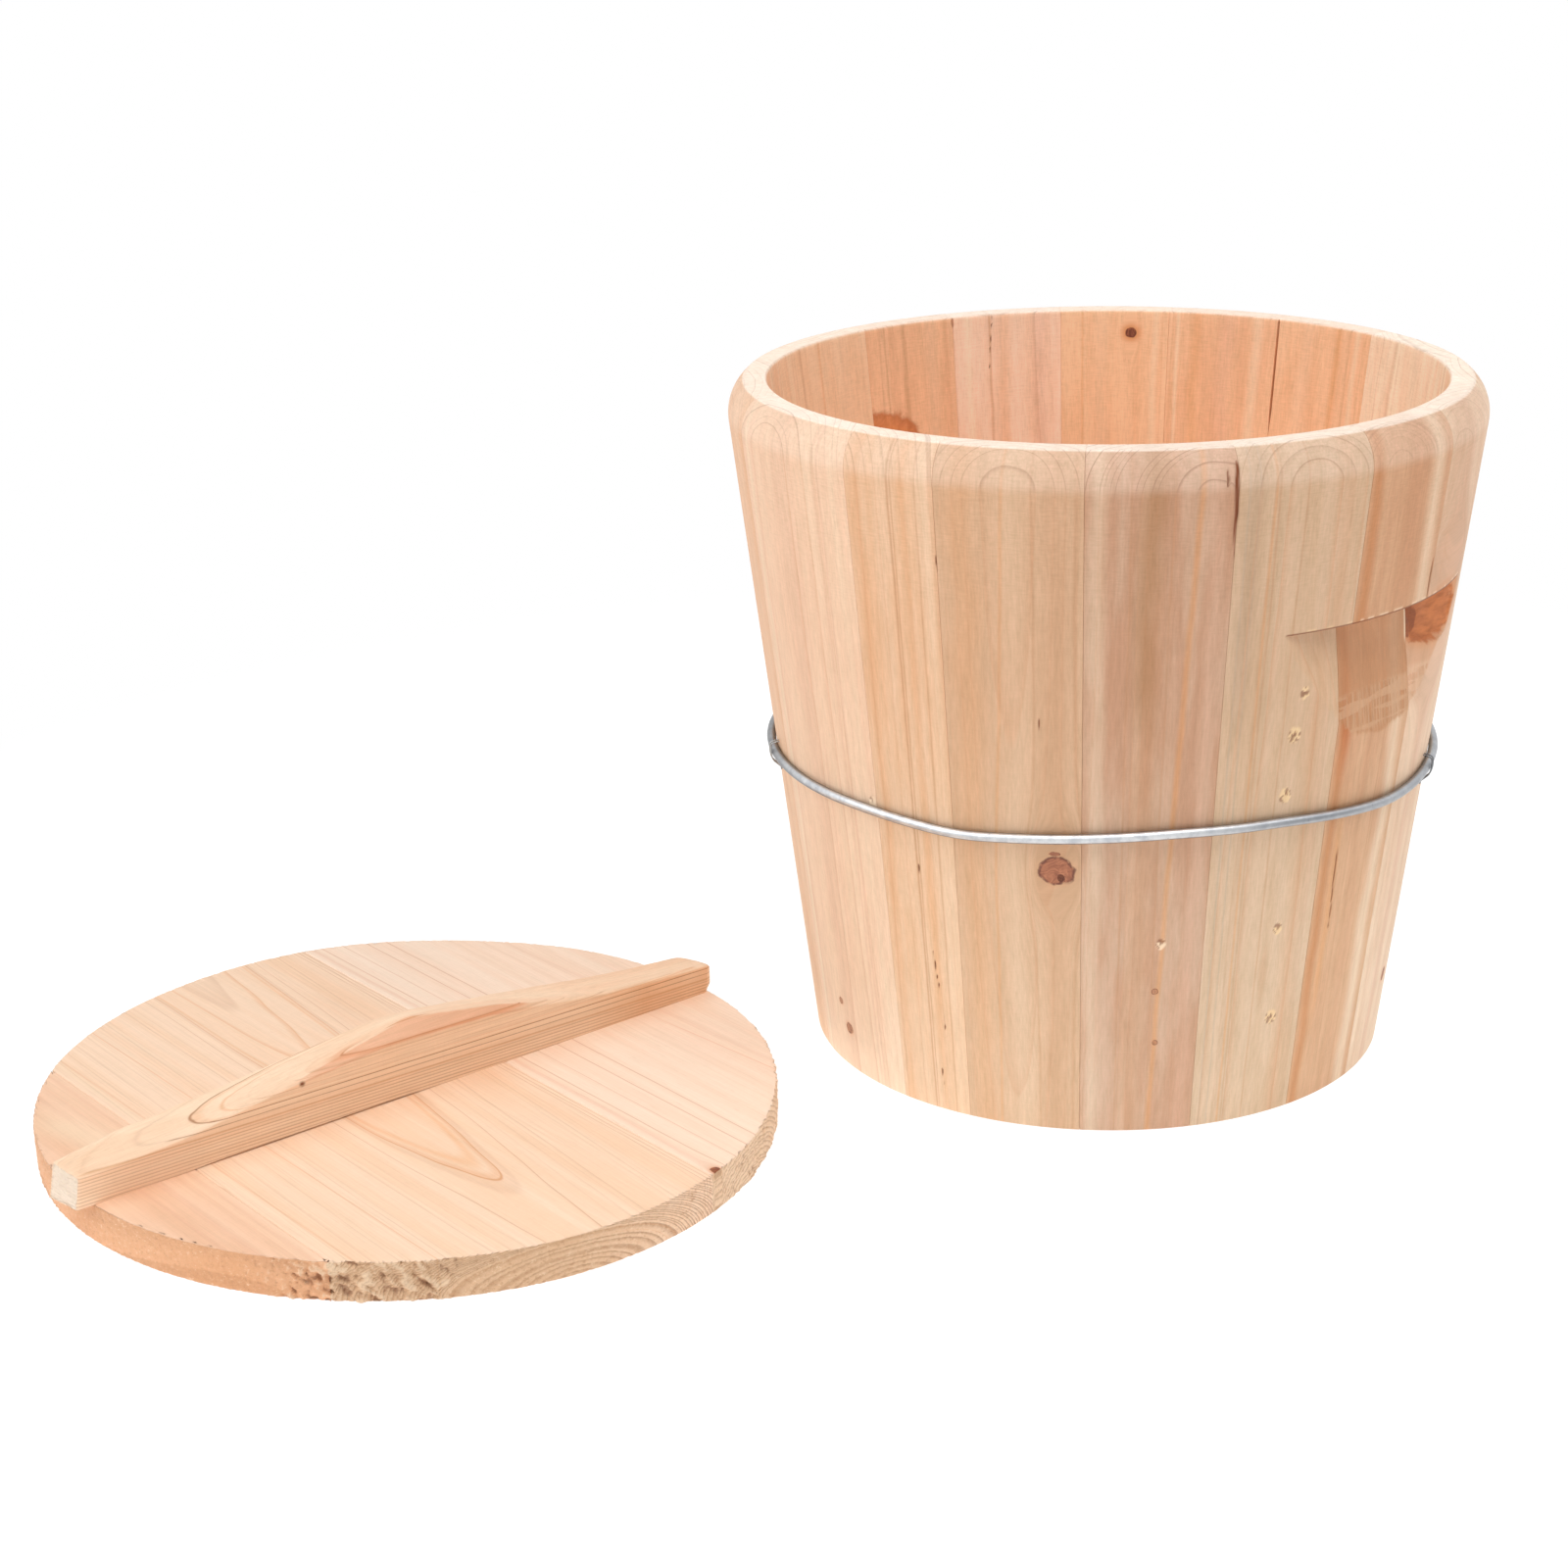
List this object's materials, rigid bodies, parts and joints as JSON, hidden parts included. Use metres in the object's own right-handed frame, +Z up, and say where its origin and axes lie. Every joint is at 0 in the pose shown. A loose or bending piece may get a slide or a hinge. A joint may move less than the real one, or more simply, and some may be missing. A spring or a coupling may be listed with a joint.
{
  "type": "lidded wooden firkin",
  "caption": "Tapered bare-wood firkin of upright staves with a wire hoop, carved finger grips and a let-in bottom, its board lid with a humped batten handle lying beside it.",
  "frame": {"origin": "on the floor, on the bucket's axis, at the middle of its foot", "axes": "+Z up along the bucket's axis; +X towards the bucket's right as pictured, so the lid lies on the -X side; -Y towards the viewer"},
  "size_m": [0.6153, 0.4137, 0.2945],
  "materials": {
    "fir_stave": "matte",
    "fir_bottom": "matte",
    "fir_lid": "matte",
    "fir_batten": "matte",
    "bamboo_pin": "matte",
    "galvanised_wire": "satin",
    "steel_nail": "satin"
  },
  "bodies": {
    "bucket": {"stave_01": "fir_stave", "stave_02": "fir_stave", "stave_03": "fir_stave", "stave_04": "fir_stave", "stave_05": "fir_stave", "stave_06": "fir_stave", "stave_07": "fir_stave", "stave_08": "fir_stave", "stave_09": "fir_stave", "stave_10": "fir_stave", "stave_11": "fir_stave", "stave_12": "fir_stave", "stave_13": "fir_stave", "stave_14": "fir_stave", "stave_15": "fir_stave", "stave_16": "fir_stave", "bottom_board_1": "fir_bottom", "bottom_board_2": "fir_bottom", "bottom_board_3": "fir_bottom", "bottom_board_4": "fir_bottom", "stave_dowels": "bamboo_pin", "bottom_dowels": "bamboo_pin", "wire_hoop": "galvanised_wire", "hoop_keeper_left": "galvanised_wire", "hoop_keeper_right": "galvanised_wire"},
    "lid": {"lid_board_1": "fir_lid", "lid_board_2": "fir_lid", "lid_board_3": "fir_lid", "lid_dowels": "bamboo_pin", "lid_batten": "fir_batten", "batten_nails": "steel_nail"}
  },
  "joints": [
    {"name": "lid_lift", "type": "slide", "parent": "bucket", "child": "lid", "axis": [0, 0, 1], "range_m": [0, 0.2]}
  ]
}
